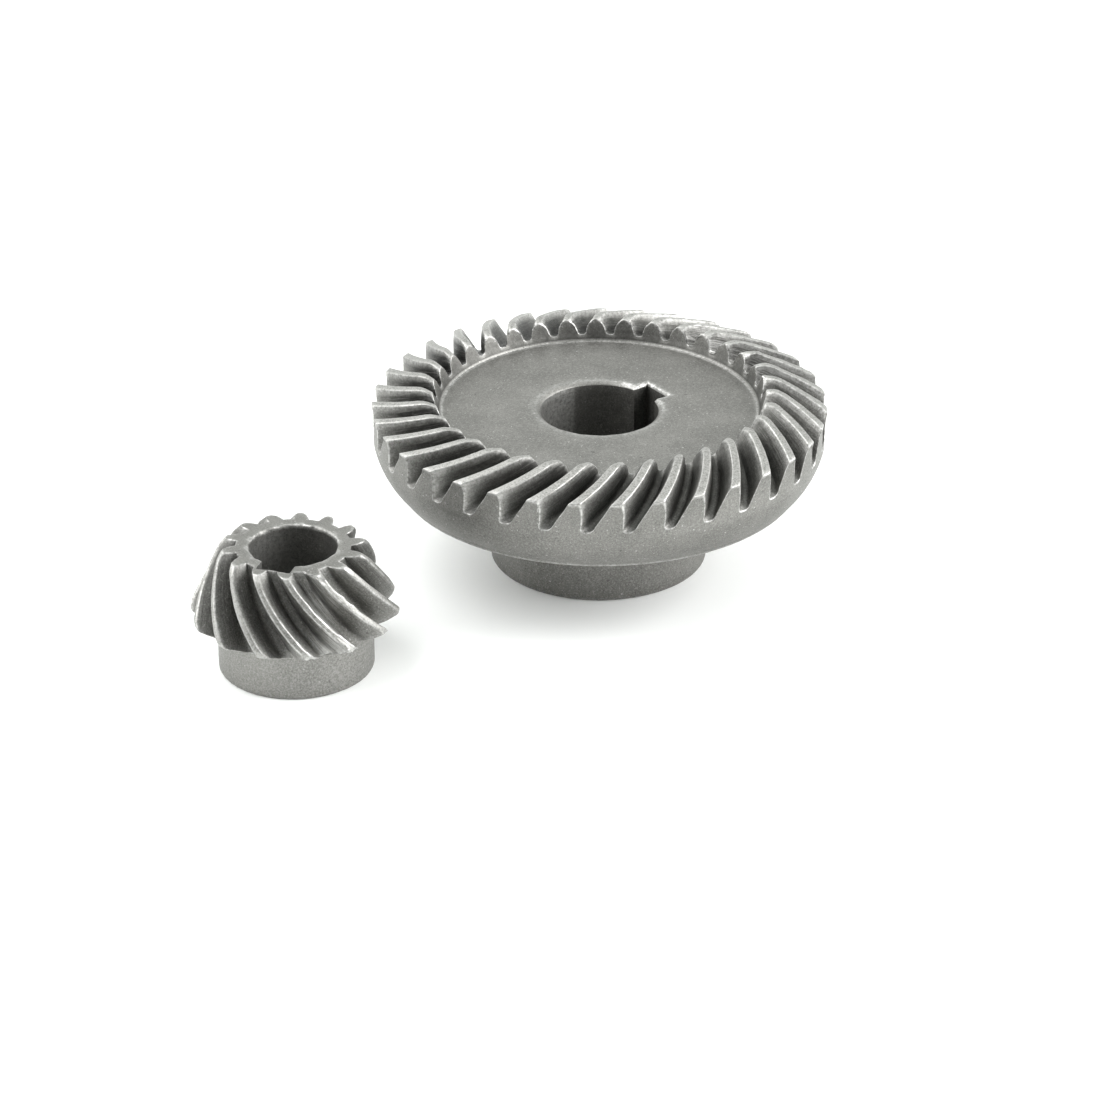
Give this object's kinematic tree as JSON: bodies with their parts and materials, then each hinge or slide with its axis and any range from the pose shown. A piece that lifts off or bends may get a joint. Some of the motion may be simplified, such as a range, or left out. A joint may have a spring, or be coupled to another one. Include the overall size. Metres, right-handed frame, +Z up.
{
  "type": "bevel gear pair",
  "caption": "Spiral bevel crown wheel and its matching pinion, both with a hub and a keyed bore, for a right-angle drive.",
  "frame": {"origin": "on the crown wheel's bore axis, at the hub face that the crown wheel stands on", "axes": "+Z up along the crown wheel's bore axis, with the teeth upwards; the pinion's bore axis is parallel to it and crosses the -X axis; Y completes the set"},
  "size_m": [0.0833, 0.054, 0.0223],
  "materials": {
    "gear_steel": "matte blasted steel, bare"
  },
  "bodies": {
    "crown_wheel": {"crown_wheel": "gear_steel"},
    "pinion": {"pinion": "gear_steel"}
  },
  "joints": [
    {"name": "pinion_spin", "type": "hinge", "parent": "crown_wheel", "child": "pinion", "pos_m": [-0.0443, 0, 0], "axis": [0, 0, 1], "continuous": true}
  ]
}
